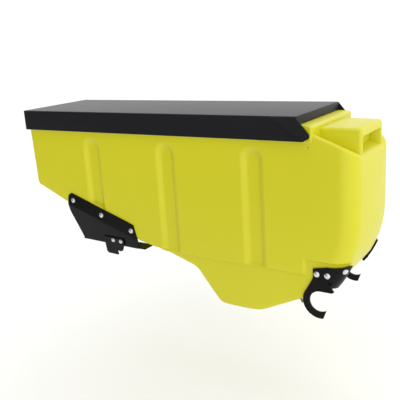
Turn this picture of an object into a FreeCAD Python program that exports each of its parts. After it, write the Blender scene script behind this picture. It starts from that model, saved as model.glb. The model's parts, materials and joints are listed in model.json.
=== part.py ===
import FreeCAD, Part
import math
import os

# Hopper module of a bar-mounted salt and sand spreader.
# Millimetres.  The origin is the axis of the carrying bar, midway between the two hooks.
# +X runs from the shallow end to the sump end, +Y is across the hopper, +Z is up.

V = FreeCAD.Vector
UP = V(0, 0, 1)
SIDES = (("near", -1), ("far", 1))

# ---- hopper shell ----
wall = 7.0                    # moulded wall
end_x = 112.0                 # outside of the end wall, ahead of the bar axis
body_length = 1308.0          # outside, at the rim
body_half = 164.0             # half the outside width
rim_z = 563.5                 # top of the rim above the bar axis
curb_z = 540.0                # top of the closed curb beside the lid
curb_length = 53.0            # closed curb, along X
curb_end_x = -18.0
shoulder_top_z = 497.0        # where the shoulder leaves the curb
shoulder_drop = 0.39          # fall of the shoulder per unit length
left_lean = 8.0               # draft of the shallow end wall
left_foot_z = 278.0
floor_run = 160.0             # steeper first stretch of the floor
floor_z = (213.0, 101.0, 76.0, 36.0)
floor_x = (-690.0, -576.0, -452.0)
sump_neck = (-423.0, -4.0)
sump_x = (-360.0, -218.0)
sump_z = -81.0
rise_low = (-65.0, -7.0)
rise_high = (17.0, 46.0)
end_foot = (66.0, 81.0)
end_straight_z = 255.0
end_round = 54.0              # vertical corners of the end wall
shoulder_rise = 22.0          # the shoulder's outer edges stand this much above its middle
shoulder_round = 14.0
crease_z = 79.0               # the walls step in below this height
crease_step = 6.0
crease_start = -640.0
pocket_x = -46.0              # recess that the hook plates sit in
pocket_z = 128.0
pocket_y = 100.0
rim_band = 3.0                # thicker band round the top of the side walls
rim_band_z = 493.0

flute_count = 3
flute_last_x = -219.0
flute_pitch = 330.0
flute_half = 42.0
flute_depth = 10.0
flute_slope = 20.0            # how far each flank runs in
flute_top_z = 474.0

nose_half = 100.0
nose_x = 104.0
nose_z = 526.0
nose_root_z = 440.0
recess_half = 87.0
recess_depth = 35.0
recess_top_z = 504.0
nose_round = 9.0

# ---- lid ----
lid_wall = 4.0
lid_gap = 3.0                 # side play between rim band and skirt
lid_seat = 0.5                # play between rim and lid
lid_end_gap = 4.0
skirt_depth = 73.0
end_skirt_depth = 28.0
skirt_tail = 20.0             # skirt past the end of the lid's top
ear_lean = 35.0               # degrees above level where the ear's rounding starts
gusset_length = 82.0
gusset_thick = 3.0
pivot_x = -35.0
pivot_z = 512.0
ear_r = 11.0
pivot_r = 5.0
pivot_clearance = 0.05
pivot_head_r = 7.0
pivot_head = 4.0
insert_r = 9.0
insert_length = 16.0
washer_play = 0.3

# ---- lid latch at the shallow end ----
latch_z = 522.0
latch_stand = 10.0            # pin axis ahead of the skirt
latch_pin_r = 3.0
latch_half = 15.0
latch_thick = 6.0
latch_length = 112.0
latch_plate = 2.5
latch_grip = 26.0
latch_catch_z = 430.0
latch_slot = (7.0, 10.0)      # half width and half height of the strap's slot
lug_steel = 3.0
lug_reach = 5.0               # lug past the pin axis
lug_half = 6.0
bracket_margin = 13.0         # bracket plate past the strap, each side
bracket_z = (-12.0, 14.0)     # bracket plate about the pin axis
keeper_z = (-16.0, 12.0)      # keeper plate about the catch
horn_half = 5.0
horn_steel = 3.0
horn_lip = 8.0
small_rivet_r = 2.5
small_head_r = 4.0
small_head = 2.0
bracket_rivet = (8.5, 3.0)    # past the strap's edge, above the pin
keeper_screw = (10.0, -10.0)  # across, and below the catch

# ---- bar hooks ----
hook_r = 34.0                 # inside radius, sits on the carrying bar
hook_band = 22.0
steel = 6.0                   # hook bracket plate
bar_clearance = 1.0           # groove in the hopper's underside, over the bar
hook_edge_x = -22.0
hook_top = (105.0, 119.0)
hook_chin = (44.0, 38.0)
hook_heel = (82.0, 74.0)
hook_flange_y = 122.0
hook_bolt_x = (-10.0, 24.0)
hook_bolt_z = 89.0
hook_bend_x = 26.0            # the plate starts to follow the rounded corner here
hook_tip = (-54.0, -80.0)     # degrees, inner and outer corner of the tip
hook_back = 152.0             # degrees, where the outside of the hook meets the neck
hook_neck = ((-34.0, 53.0), (-22.0, 76.0))
hook_lap = 8.0                # plate and bent skin share this much
hook_flange_z = (62.0, 119.0)
hook_flange_bolt = (26.0, 36.0)  # degrees down the end wall, degrees round from it

# ---- feet ----
foot_steel = 4.0
foot_strip = 50.0             # height of the strip bolted to the side wall
foot_z = 70.0                 # underside of the foot
foot_lean = 9.0               # web leans inward, degrees
foot_reach = 40.0             # inward width of the foot
foot_start = 8.0              # lower end of the strip, up the floor line
foot_end = 346.0              # its upper end
foot_toe = 26.0
foot_cut = (30.0, 68.0)       # slant of the web's outer end
foot_bolts = 3
foot_bolt_edge = (35.0, 15.0)  # from the strip's lower and upper ends
foot_hole_r = 5.5
foot_hole_x = (-900.0, -720.0)
saddle_bolt_x = (-816.0, -778.0)
saddle_bolt_z = 90.0
saddle_steel = 5.0
saddle_half = 28.0
saddle_lobe = 46.0            # lobe's outer edge past the first bolt
saddle_drop = 40.0
saddle_bolt_r = 4.0
saddle_head = (8.0, 5.0)      # radius and height
saddle_nut = (7.5, 6.5)       # radius across corners and height
strip_start = (32.0, 14.0)    # slants of the strip's two ends
strip_end = 12.0
strip_foot = 8.0
foot_tail = 22.0              # foot past the web's slant

# ---- fasteners ----
bolt_r = 5.0
bolt_head_r = 9.5
bolt_head = 5.5
nut_r = 9.0                   # across corners, halved
nut_height = 8.0
plate_washer = 2.0
thread_out = 2.0              # shank past its nut
washer_bed = 4.5              # sealing bead between a washer and the curved inside of a corner

# ---- outlet, gate and baffle ----
outlet_half_x = 45.0
outlet_half_y = 50.0
frame_half_x = 66.0
frame_half_y = 74.0
frame_steel = 3.0
gate_steel = 3.0
gate_play = 0.3
gate_half_y = 57.0
gate_tab = 14.0
gate_lap = 12.0               # gate past the outlet at its closed end
gate_grip = (20.0, 5.0)       # half length and height of the finger slot
rail_lip = 8.0
outlet_screw = (58.0, 66.0)
screw_r = 4.0
screw_head_r = 7.5
screw_head = 4.0
baffle_half = 48.0
baffle_z = 60.0
baffle_rise = 42.0
baffle_sheet = 3.0
baffle_leg = 18.0
baffle_post = 6.0             # half width of a leg
baffle_margin = 14.0          # roof past the outlet screws

# ---- top screen ----
screen_z = 498.0
screen_bar = 5.0
screen_pitch = 56.0
screen_ledge = 24.0
screen_play = 3.0
ledge_end = 20.0              # ledge stops short of the screen's ends
ledge_rise = 36.0
ledge_back = 2.0
rivet_drop = 10.0             # rivets below the ledge's upper edge
rivet_end = 60.0
ledge_sheet = 3.0
rivet_r = 3.0
rivet_head_r = 6.0
rivet_head = 2.2
rivet_count = 6

# ---- rear studs ----
stud_x = -100.0
stud_y = 92.0
stud_r = 5.0
stud_out = 28.0
stud_tip_r = 4.0              # turned-down free end
stud_collar = 4.8

left_x = end_x - body_length
curb_x = curb_end_x - curb_length
shoulder_low_z = shoulder_top_z - shoulder_drop * (end_x - curb_end_x)
lid_top = rim_z + lid_seat + lid_wall
lid_half = body_half + rim_band + lid_gap + lid_wall
lid_left = left_x - lid_end_gap - lid_wall
lid_right = curb_x + lid_end_gap + lid_wall
skirt_z = lid_top - skirt_depth
floor_knee = (left_x + floor_run, floor_z[0])
outlet_x = 0.5 * (sump_x[0] + sump_x[1])


def wire_xz(points, y=0.0):
    """Closed wire in a plane of constant Y; a triple of points makes an arc."""
    edges = []
    for step in points:
        ends = [V(x, y, z) for x, z in step]
        if len(ends) == 3:
            edges.append(Part.Arc(*ends).toShape())
        else:
            edges.append(Part.LineSegment(*ends).toShape())
    return Part.Wire(edges)


def prism_xz(points, y0, y1):
    """Straight-sided outline in XZ, run from y0 to y1."""
    corners = [V(x, y0, z) for x, z in points]
    face = Part.Face(Part.makePolygon(corners + corners[:1]))
    return face.extrude(V(0, y1 - y0, 0))


def block(x, y, z):
    """Box from three (low, high) pairs."""
    return Part.makeBox(x[1] - x[0], y[1] - y[0], z[1] - z[0], V(x[0], y[0], z[0]))


def span(side, a, b):
    """The two Y limits of a piece that lies between |y| = a and |y| = b."""
    return tuple(sorted((side * a, side * b)))


def rod(r, start, end):
    axis = end - start
    return Part.makeCylinder(r, axis.Length, start, axis)


def placed(shape, base, direction):
    """Stand a shape, made along +Z at the origin, on a point and a direction."""
    shape.Placement = FreeCAD.Placement(base, FreeCAD.Rotation(UP, direction))
    return shape


def joined(shapes):
    result = shapes[0].multiFuse(shapes[1:]) if len(shapes) > 1 else shapes[0]
    return result.removeSplitter()


def bolt(base, out, grip, r=bolt_r, head_r=bolt_head_r, head=bolt_head):
    """Domed flange bolt: head on the outside of a base point, shank going the other way."""
    flange = Part.makeCylinder(head_r, 0.35 * head)
    dome_r = 0.72 * head_r
    dome = Part.makeCone(dome_r, 0.55 * dome_r, 0.65 * head, V(0, 0, 0.35 * head))
    shank = Part.makeCylinder(r, grip, V(0, 0, -grip))
    return placed(joined([flange, dome, shank]), base, out)


def nut(base, out, r=bolt_r, corner=nut_r, height=nut_height):
    """Hexagon nut standing on a base point, threaded on a shank of radius r."""
    turns = [math.radians(60 * i) for i in range(7)]
    ring = [V(corner * math.cos(t), corner * math.sin(t), 0) for t in turns]
    body = Part.Face(Part.makePolygon(ring)).extrude(V(0, 0, height))
    return placed(body.cut(Part.makeCylinder(r, height)), base, out)


def end_curve():
    """Centre and radius of the arc that carries the end wall down to its foot."""
    run = end_x - end_foot[0]
    rise = end_straight_z - end_foot[1]
    r = (run * run + rise * rise) / (2 * run)
    return (end_x - r, end_straight_z), r


def on_curve(grow, turn):
    """Point of the end wall's arc, `turn` degrees below its straight part."""
    centre, r = end_curve()
    angle = math.radians(turn)
    return (centre[0] + (r + grow) * math.cos(angle), centre[1] - (r + grow) * math.sin(angle))


def body_outline():
    """Side profile of the hopper before its shoulder is cut, clockwise from the shallow end."""
    top_left = (left_x, rim_z)
    top_right = (end_x, rim_z)
    corners = [
        top_left,
        (left_x + left_lean, left_foot_z),
        floor_knee,
        (floor_x[0], floor_z[1]),
        (floor_x[1], floor_z[2]),
        (floor_x[2], floor_z[3]),
        sump_neck,
        (sump_x[0], sump_z),
        (sump_x[1], sump_z),
        rise_low,
        rise_high,
        end_foot,
    ]
    steps = list(zip(corners[:-1], corners[1:]))
    centre, r = end_curve()
    foot_turn = math.degrees(math.asin((centre[1] - end_foot[1]) / r))
    steps.append((end_foot, on_curve(0, 0.5 * foot_turn), (end_x, end_straight_z)))
    steps.append(((end_x, end_straight_z), top_right))
    steps.append((top_right, top_left))
    return steps


def rounded_end(half, grow, corner_r):
    """Long block with the end wall's curve and rounded vertical corners."""
    high = rim_z + 2 * end_round
    low = sump_z - end_round
    x = end_x + grow
    tail_turn = 45.0
    tail = on_curve(grow, tail_turn)
    toe = (tail[0] - (tail[1] - low), low)
    back = left_x - end_round
    steps = [
        ((back, high), (back, low)),
        ((back, low), toe),
        (toe, tail),
        (tail, on_curve(grow, 0.5 * tail_turn), (x, end_straight_z)),
        ((x, end_straight_z), (x, high)),
        ((x, high), (back, high)),
    ]
    solid = Part.Face(wire_xz(steps, -half)).extrude(V(0, 2 * half, 0))
    corners = [edge for edge in solid.Edges if is_end_corner(edge, toe[0] - 1, low)]
    return solid.makeFillet(corner_r, corners)


def is_end_corner(edge, x_low, z_low):
    """True on the long edges that run up the end wall."""
    box = edge.BoundBox
    across = box.YMax - box.YMin
    upright = box.ZMax - box.ZMin
    return across < 0.01 and upright > 1.0 and box.XMin > x_low


def tub(half, grow, corner_r):
    """Solid with the hopper's profile grown by `grow`, `half` wide each side of the middle."""
    wire = wire_xz(body_outline(), -half)
    if grow:
        wire = wire.makeOffset2D(grow, 2)
    solid = Part.Face(wire).extrude(V(0, 2 * half, 0))
    return solid.common(rounded_end(half, grow, corner_r))


def corner_spot(side, down, around, stand):
    """Point and outward direction on the rounded corner, `stand` outside the pocket's floor."""
    centre, r = end_curve()
    ball = end_round - crease_step
    down = math.radians(down)
    around = math.radians(around)
    path = V(centre[0] + (r - ball) * math.cos(down), 0, centre[1] - (r - ball) * math.sin(down))
    path.y = side * (body_half - crease_step - ball)
    out = V(
        math.cos(around) * math.cos(down),
        side * math.sin(around),
        -math.cos(around) * math.sin(down),
    )
    return path + out * (ball + stand), out


def lower_region(grow):
    """Everything below the crease, and the two pockets at the foot of the end wall."""
    far = end_x + end_round
    deep = sump_z - end_round
    wide = 2 * body_half
    band = block((crease_start - grow, far), (-wide, wide), (deep, crease_z + grow))
    pockets = [
        block((pocket_x - grow, far), span(side, pocket_y - grow, wide), (deep, pocket_z + grow))
        for _, side in SIDES
    ]
    return joined([band] + pockets)


def stepped_tub(inset):
    """Tub whose walls step in at the crease, `inset` inside the hopper's outer face."""
    upper = tub(body_half - inset, -inset, end_round - inset)
    lower = tub(body_half - crease_step - inset, -inset, end_round - crease_step - inset)
    return upper.cut(lower_region(inset).cut(lower))


def above_shoulder(inset):
    """Space over the dished, sloping shoulder and the curb, lowered by `inset`."""
    high = rim_z + end_round
    start = curb_end_x - inset
    wide = 2 * body_half
    over_curb = block((curb_x - inset, end_x + end_round), (-wide, wide), (curb_z - inset, high))
    run = end_x + end_round - start
    drop = inset * math.hypot(1, shoulder_drop) - shoulder_drop * inset
    dish = [V(start, y, z - drop) for y, z in shoulder_section(wide)]
    dish += [V(start, wide, high + wide), V(start, -wide, high + wide)]
    over_shoulder = Part.Face(Part.makePolygon(dish + dish[:1])).extrude(V(run, 0, -shoulder_drop * run))
    return joined([over_curb, over_shoulder])


def shoulder_section(wide):
    """Across the shoulder at the curb: level behind the nose, rising outward past it."""
    rise = shoulder_rise / (body_half - nose_half)
    edge_z = shoulder_top_z + rise * (wide - nose_half)
    middle = [(-nose_half, shoulder_top_z), (nose_half, shoulder_top_z)]
    return [(-wide, edge_z)] + middle + [(wide, edge_z)]


def flute(x, side, grow):
    """Cutter for one upright groove with a domed top, thickened by `grow`."""
    deep = flute_depth + grow
    widen = grow * math.hypot(flute_slope, flute_depth) / flute_depth
    spring_z = flute_top_z - flute_half
    foot = crease_z - grow
    wires = []
    for depth in (0.0, deep):
        half = flute_half - flute_slope * depth / flute_depth + widen
        steps = [
            ((x - half, foot), (x - half, spring_z)),
            ((x - half, spring_z), (x, spring_z + half), (x + half, spring_z)),
            ((x + half, spring_z), (x + half, foot)),
            ((x + half, foot), (x - half, foot)),
        ]
        wires.append(wire_xz(steps, side * (body_half - depth)))
    return Part.makeLoft(wires, True, True)


def strip_pad(grow):
    """Stretch of side wall left plain behind the strips, so that their bolts seat on it."""
    lift = foot_strip - foot_steel - grow
    ends = (foot_start - foot_strip, foot_end)
    corners = [(ends[0], -foot_strip), (ends[0], lift), (ends[1], lift), (ends[1], -foot_strip)]
    wide = 2 * body_half
    return prism_xz([on_floor_line(*corner) for corner in corners], -wide, wide)


def flutes(grow):
    places = [flute_last_x - flute_pitch * i for i in range(flute_count)]
    pad = strip_pad(grow)
    return [flute(x, side, grow).cut(pad) for x in places for _, side in SIDES]


def is_shoulder_edge(edge):
    """True on the edges where the shoulder meets the side walls, the corners and the end wall."""
    centre = edge.CenterOfMass
    height = shoulder_top_z - shoulder_drop * (centre.x - curb_end_x)
    outward = max(abs(centre.y) - nose_half, 0.0) / (body_half - nose_half)
    past_curb = edge.BoundBox.XMin > curb_end_x - 0.1 and centre.x > curb_end_x + 1
    outer = abs(centre.y) > nose_half + 1 or edge.BoundBox.XMin > end_x - 1
    return abs(centre.z - height - shoulder_rise * outward) < 2.0 and past_curb and outer


def nose(inset):
    """Boxed housing that stands on the shoulder, with its end recess."""
    half = nose_half - inset
    top = nose_z - inset
    front = nose_x - inset
    body = block((curb_end_x - end_round, front), (-half, half), (nose_root_z, top))
    edge_r = nose_round - inset
    if edge_r > 0:
        body = body.makeFillet(edge_r, [edge for edge in body.Edges if is_nose_edge(edge, top, front)])
    cut_half = recess_half + inset
    deep = nose_x - recess_depth - inset
    recess = block((deep, end_x), (-cut_half, cut_half), (0, recess_top_z + inset))
    return body.cut(recess)


def is_nose_edge(edge, top, front):
    centre = edge.CenterOfMass
    at_top = abs(centre.z - top) < 0.1
    at_front = abs(centre.x - front) < 0.1
    along_x = edge.BoundBox.XMax - edge.BoundBox.XMin > 1
    upright = edge.BoundBox.ZMax - edge.BoundBox.ZMin > 1
    return (at_top and (at_front or along_x)) or (at_front and upright)


def rim_solid():
    """Thicker band round the top, and the curb it ends in."""
    half = body_half + rim_band
    band = block((left_x, curb_end_x), (-half, half), (rim_band_z, rim_z))
    return band.cut(above_shoulder(0))


def bar(grow):
    wide = 2 * body_half
    return rod(hook_r + bar_clearance + grow, V(0, -wide, 0), V(0, wide, 0))


def hopper_outside():
    shell = stepped_tub(0).cut(above_shoulder(0))
    shell = shell.makeFillet(shoulder_round, [e for e in shell.Edges if is_shoulder_edge(e)])
    shell = joined([shell, nose(0), rim_solid()])
    return shell.cut(flutes(0) + [bar(0)])


def hopper_inside():
    room = stepped_tub(wall).cut(above_shoulder(wall))
    room = joined([room, nose(wall)])
    room = room.cut(flutes(wall) + [bar(wall)])
    mouth = block(
        (left_x + wall, curb_x - wall),
        (-(body_half - wall), body_half - wall),
        (flute_top_z + 2 * wall, rim_z + wall),
    )
    return joined([room, mouth])


def hopper(holes):
    shell = hopper_outside().cut(hopper_inside())
    outlet = block(
        (outlet_x - outlet_half_x, outlet_x + outlet_half_x),
        (-outlet_half_y, outlet_half_y),
        (sump_z - wall, sump_z + 2 * wall),
    )
    return shell.cut([outlet] + holes)


# ---- lid ----

def lid():
    inner = lid_half - lid_wall
    pan = block((lid_left, lid_right), (-lid_half, lid_half), (skirt_z, lid_top))
    room = block(
        (lid_left + lid_wall, lid_right - lid_wall), (-inner, inner), (skirt_z, lid_top - lid_wall)
    )
    end = (lid_right - lid_wall, lid_right)
    doorway = block(end, (-inner, inner), (skirt_z, lid_top - end_skirt_depth))
    pieces = [pan.cut([room, doorway])]
    shank = pivot_r + pivot_clearance
    holes = []
    for _, side in SIDES:
        pieces.append(prism_xz(ear_outline(), *span(side, inner, lid_half)))
        pieces.append(prism_xz(gusset_outline(), *span(side, lid_half, lid_half + gusset_thick)))
        pieces.append(ear_disc(side, ear_r, inner, lid_half + gusset_thick))
        holes.append(ear_disc(side, shank, inner - lid_wall, lid_half + 2 * gusset_thick))
    return joined(pieces).cut(holes)


def ear_disc(side, r, a, b):
    return rod(r, V(pivot_x, side * a, pivot_z), V(pivot_x, side * b, pivot_z))


def ear_outline():
    """Tail of the side skirt, down to the pivot."""
    lean = math.radians(ear_lean)
    return [
        (lid_right - lid_wall, lid_top),
        (lid_right, lid_top),
        (pivot_x + ear_r * math.cos(lean), pivot_z + ear_r * math.sin(lean)),
        (pivot_x, pivot_z - ear_r),
        (lid_right + skirt_tail, skirt_z),
        (lid_right - lid_wall, skirt_z),
    ]


def gusset_outline():
    """Raised triangle that stiffens the ear."""
    lean = math.radians(ear_lean)
    return [
        (lid_right - gusset_length, lid_top - lid_wall),
        (lid_right, lid_top - lid_wall),
        (pivot_x + ear_r * math.cos(lean), pivot_z + ear_r * math.sin(lean)),
        (pivot_x - ear_r * math.sin(lean), pivot_z - ear_r * math.cos(lean)),
    ]


def pivot_bolt(side):
    outside = lid_half + gusset_thick + washer_play
    inside = body_half + rim_band - insert_length
    base = V(pivot_x, side * outside, pivot_z)
    return bolt(base, V(0, side, 0), outside - inside, pivot_r, pivot_head_r, pivot_head)


def pivot_insert(side, bored=True):
    start = body_half + rim_band - insert_length
    sleeve = ear_disc(side, insert_r, start, body_half + rim_band)
    return sleeve.cut(ear_disc(side, pivot_r, start, body_half + rim_band)) if bored else sleeve


def pivot_washer(side):
    start = body_half + rim_band
    end = lid_half - lid_wall - washer_play
    return ear_disc(side, insert_r, start, end).cut(ear_disc(side, pivot_r, start, end))


# ---- latch ----

def latch_bracket():
    half = latch_half + bracket_margin
    low, high = bracket_z
    plate = block((lid_left - latch_plate, lid_left), (-half, half), (latch_z + low, latch_z + high))
    lugs = []
    for _, side in SIDES:
        y = span(side, latch_half + 1, latch_half + 1 + lug_steel)
        x = (lid_left - latch_stand - lug_reach, lid_left - latch_plate)
        lugs.append(block(x, y, (latch_z - lug_half, latch_z + lug_half)))
    return joined([plate] + lugs).cut([latch_pin()] + latch_rivet_list())


def latch_pin():
    x = lid_left - latch_stand
    half = latch_half + 2 * lug_steel
    return rod(latch_pin_r, V(x, -half, latch_z), V(x, half, latch_z))


def latch_rivet_list():
    x = lid_left - latch_plate
    y = latch_half + bracket_rivet[0]
    z = latch_z + bracket_rivet[1]
    grip = latch_plate + lid_wall
    return [small_rivet(V(x, side * y, z), grip) for _, side in SIDES]


def small_rivet(base, grip):
    """Rivet or screw with its head toward the shallow end."""
    return bolt(base, V(-1, 0, 0), grip, small_rivet_r, small_head_r, small_head)


def latch_strap():
    x = lid_left - latch_stand
    foot = latch_z - latch_length
    eye_r = latch_stand - latch_plate - 1.0
    eye = rod(eye_r, V(x, -latch_half, latch_z), V(x, latch_half, latch_z))
    band = block((x - 0.5 * latch_thick, x + 0.5 * latch_thick), (-latch_half, latch_half), (foot, latch_z))
    grip = rod(0.9 * latch_thick, V(x, -latch_grip, foot), V(x, latch_grip, foot))
    pin_hole = rod(latch_pin_r + pivot_clearance, V(x, -latch_half, latch_z), V(x, latch_half, latch_z))
    wide, tall = latch_slot
    slot = block(
        (x - latch_thick, x + latch_thick), (-wide, wide), (latch_catch_z - tall, latch_catch_z + tall)
    )
    return joined([eye, band, grip]).cut([pin_hole, slot])


def end_wall_x(z):
    """Outside face of the leaning shallow end at a height."""
    return left_x + left_lean * (rim_z - z) / (rim_z - left_foot_z)


def latch_keeper():
    low = latch_catch_z + keeper_z[0]
    high = latch_catch_z + keeper_z[1]
    plate = prism_xz(
        [
            (end_wall_x(low), low),
            (end_wall_x(high), high),
            (end_wall_x(high) - latch_plate, high),
            (end_wall_x(low) - latch_plate, low),
        ],
        -latch_half,
        latch_half,
    )
    root = end_wall_x(latch_catch_z) - latch_plate
    tip = lid_left - latch_stand + 0.5 * latch_thick + 0.5 * horn_steel
    horn = prism_xz(
        [
            (root + 1, latch_catch_z - horn_steel),
            (root + 1, latch_catch_z + horn_steel),
            (tip, latch_catch_z + horn_steel),
            (tip, latch_catch_z - horn_lip),
            (tip + horn_steel, latch_catch_z - horn_lip),
            (tip + horn_steel, latch_catch_z - horn_steel),
        ],
        -horn_half,
        horn_half,
    )
    return joined([plate, horn]).cut(keeper_screw_list())


def keeper_screw_list():
    across, drop = keeper_screw
    z = latch_catch_z + drop
    x = end_wall_x(z) - latch_plate
    grip = latch_plate + wall + thread_out
    return [small_rivet(V(x, side * across, z), grip) for _, side in SIDES]


# ---- bar hooks ----

def hook_outline():
    """Flat part of the hook plate: the plate, its neck and the hook round the bar."""
    outer = hook_r + hook_band
    tip_in = math.radians(hook_tip[0])
    tip_out = math.radians(hook_tip[1])
    back = math.radians(hook_back)
    neck, shoulder = hook_neck
    a = (hook_edge_x, hook_top[0])
    b = (hook_bend_x, hook_top[1] - 4)
    c = (hook_bend_x, hook_heel[1] - hook_lap)
    d = hook_chin
    e = (0.0, hook_r)
    f = (hook_r * math.cos(tip_in), hook_r * math.sin(tip_in))
    g = (outer * math.cos(tip_out), outer * math.sin(tip_out))
    h = (outer * math.cos(back), outer * math.sin(back))
    return [
        (a, b),
        (b, c),
        (c, d),
        (d, (hook_chin[0] - 6, hook_r)),
        ((hook_chin[0] - 6, hook_r), e),
        (e, (-hook_r, 0.0), f),
        (f, g),
        (g, (-outer, 0.0), h),
        (h, neck, shoulder),
        (shoulder, a),
    ]


def hook_bracket(side, holes):
    floor = body_half - crease_step
    y0, y1 = span(side, floor, floor + steel)
    plate = Part.Face(wire_xz(hook_outline(), y0)).extrude(V(0, y1 - y0, 0))
    skin = rounded_end(floor + steel, steel, end_round - crease_step + steel)
    skin = skin.cut(rounded_end(floor, 0.0, end_round - crease_step))
    low, high = hook_flange_z
    reach = prism_xz(
        [
            (hook_bend_x - hook_lap, hook_top[1] - 5),
            (end_x, high),
            (end_x, low + 12),
            (hook_heel[0] - 10, low + 4),
            (hook_chin[0], low - 24),
            (hook_bend_x - hook_lap, low - 2 * hook_lap),
        ],
        *span(side, hook_flange_y, body_half + steel),
    )
    return joined([plate, skin.common(reach)]).cut(holes)


def hook_bolt_spots(side, stand):
    """Base point and direction of the three bolts, `stand` outside the pocket's floor."""
    y = side * (body_half - crease_step + stand)
    spots = [(V(x, y, hook_bolt_z), V(0, side, 0)) for x in hook_bolt_x]
    spots.append(corner_spot(side, hook_flange_bolt[0], hook_flange_bolt[1], stand))
    return spots


def hook_bolts(side):
    grip = steel + wall + washer_bed + plate_washer + nut_height + thread_out
    return [bolt(base, out, grip) for base, out in hook_bolt_spots(side, steel)]


def hook_nuts(side):
    return [nut(base, out * -1) for base, out in hook_bolt_spots(side, -wall - washer_bed - plate_washer)]


def hook_washers(side):
    rings = []
    for base, out in hook_bolt_spots(side, -wall - washer_bed):
        ring = Part.makeCylinder(1.25 * nut_r, plate_washer).cut(Part.makeCylinder(bolt_r, plate_washer))
        rings.append(placed(ring, base, out * -1))
    return rings


# ---- feet ----

def floor_line():
    """Low end of the sloping floor's line, and its direction up the slope."""
    low = V(floor_x[0], 0, floor_z[1])
    high = V(floor_knee[0], 0, floor_knee[1])
    along = high - low
    along.normalize()
    return low, along


def on_floor_line(distance, lift):
    """XZ point a distance up the floor line and a lift square to it."""
    low, along = floor_line()
    point = low + along * distance + V(-along.z, 0, along.x) * -lift
    return (point.x, point.z)


def leaned(shape, side):
    """Turn a piece of the web inward about the fold."""
    low, along = floor_line()
    pivot = V(low.x, side * body_half, low.z)
    return shape.rotate(pivot, along, side * foot_lean)


def foot_bracket(side, holes):
    strip = prism_xz(
        [
            on_floor_line(foot_start, 0),
            on_floor_line(foot_start + strip_start[0], foot_strip),
            on_floor_line(foot_end, foot_strip),
            on_floor_line(foot_end + strip_end, foot_strip - strip_start[1]),
            on_floor_line(foot_end + strip_foot, 0),
        ],
        *span(side, body_half, body_half + foot_steel),
    )
    upper = on_floor_line(foot_end + strip_foot, 1)
    inner = on_floor_line(foot_start, 1)
    deep = foot_z - saddle_drop
    cut_x = upper[0] + foot_cut[1]
    web = prism_xz(
        [inner, upper, (upper[0] + foot_steel, upper[1] - foot_cut[0]), (cut_x, deep), (inner[0], deep)],
        *span(side, body_half, body_half + foot_steel),
    )
    leaned(web, side)
    below = block((left_x, end_x), (-2 * body_half, 2 * body_half), (deep - body_half, foot_z))
    web = web.cut(below)
    top = web.BoundBox.YMin if side > 0 else -web.BoundBox.YMax
    foot = block(
        (cut_x - foot_tail, inner[0] + foot_toe),
        span(side, top + foot_steel - foot_reach, top + foot_steel),
        (foot_z, foot_z + foot_steel),
    )
    toe = block(
        (saddle_bolt_x[1] + saddle_half, inner[0] + foot_toe),
        span(side, top, body_half - foot_steel),
        (foot_z, foot_z + foot_steel),
    )
    slots = [
        rod(foot_hole_r, V(x, side * foot_hole_y(), 0), V(x, side * foot_hole_y(), 2 * foot_z))
        for x in foot_hole_x
    ]
    return joined([strip, web, foot, toe]).cut(slots + holes)


def foot_hole_y():
    """Row of holes in the foot, on the inward side of the web."""
    return body_half - foot_reach


def foot_bolt_spots(side, stand):
    first = foot_start + foot_bolt_edge[0]
    reach = foot_end - foot_bolt_edge[1] - first
    spots = []
    for i in range(foot_bolts):
        x, z = on_floor_line(first + reach * i / (foot_bolts - 1), 0.5 * foot_strip)
        spots.append((V(x, side * (body_half + stand), z), V(0, side, 0)))
    return spots


def foot_bolt_set(side):
    grip = foot_steel + wall + plate_washer + nut_height + thread_out
    return [bolt(base, out, grip) for base, out in foot_bolt_spots(side, foot_steel)]


def foot_nut_set(side):
    return [nut(base, out * -1) for base, out in foot_bolt_spots(side, -wall)]


def saddle(side, holes):
    """Notched plate bolted to the web, with a lobe that hangs below the foot."""
    x0 = saddle_bolt_x[0]
    lobe = x0 - saddle_lobe
    low = foot_z - saddle_drop
    plate = prism_xz(
        [
            (lobe, saddle_bolt_z + 10),
            (lobe, low + 8),
            (lobe + 8, low),
            (lobe + 2 * saddle_half, low),
            (lobe + 2 * saddle_half, low + 22),
            (lobe + 2 * saddle_half + 14, low + 16),
            (lobe + 2 * saddle_half + 26, low + 20),
            (saddle_bolt_x[1] + 14, saddle_bolt_z - 8),
            (saddle_bolt_x[1] + 14, saddle_bolt_z + 10),
        ],
        *span(side, body_half + foot_steel, body_half + foot_steel + saddle_steel),
    )
    return leaned(plate, side).cut(holes)


def saddle_bolt_set(side):
    grip = foot_steel + saddle_steel + nut_height + thread_out
    outside = side * (body_half + foot_steel + saddle_steel)
    spots = [V(x, outside, saddle_bolt_z) for x in saddle_bolt_x]
    out = V(0, side, 0)
    return [leaned(bolt(spot, out, grip, saddle_bolt_r, *saddle_head), side) for spot in spots]


def saddle_nut_set(side):
    spots = [V(x, side * body_half, saddle_bolt_z) for x in saddle_bolt_x]
    inward = V(0, -side, 0)
    return [leaned(nut(spot, inward, saddle_bolt_r, *saddle_nut), side) for spot in spots]


# ---- outlet ----

def outlet_frame(holes):
    plate = block(
        (outlet_x - frame_half_x, outlet_x + frame_half_x),
        (-frame_half_y, frame_half_y),
        (sump_z - frame_steel, sump_z),
    )
    mouth = block(
        (outlet_x - outlet_half_x, outlet_x + outlet_half_x),
        (-outlet_half_y, outlet_half_y),
        (sump_z - frame_steel, sump_z),
    )
    return plate.cut([mouth] + holes)


def gate_rail(side, holes):
    """Guide that carries one edge of the gate."""
    top = sump_z - frame_steel
    depth = gate_steel + 2 * gate_play
    x = (outlet_x - frame_half_x, outlet_x + frame_half_x)
    spacer = block(x, span(side, gate_half_y + gate_play, frame_half_y), (top - depth, top))
    lip_z = (top - depth - frame_steel, top - depth)
    lip = block(x, span(side, gate_half_y - rail_lip, frame_half_y), lip_z)
    return joined([spacer, lip]).cut(holes)


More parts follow.
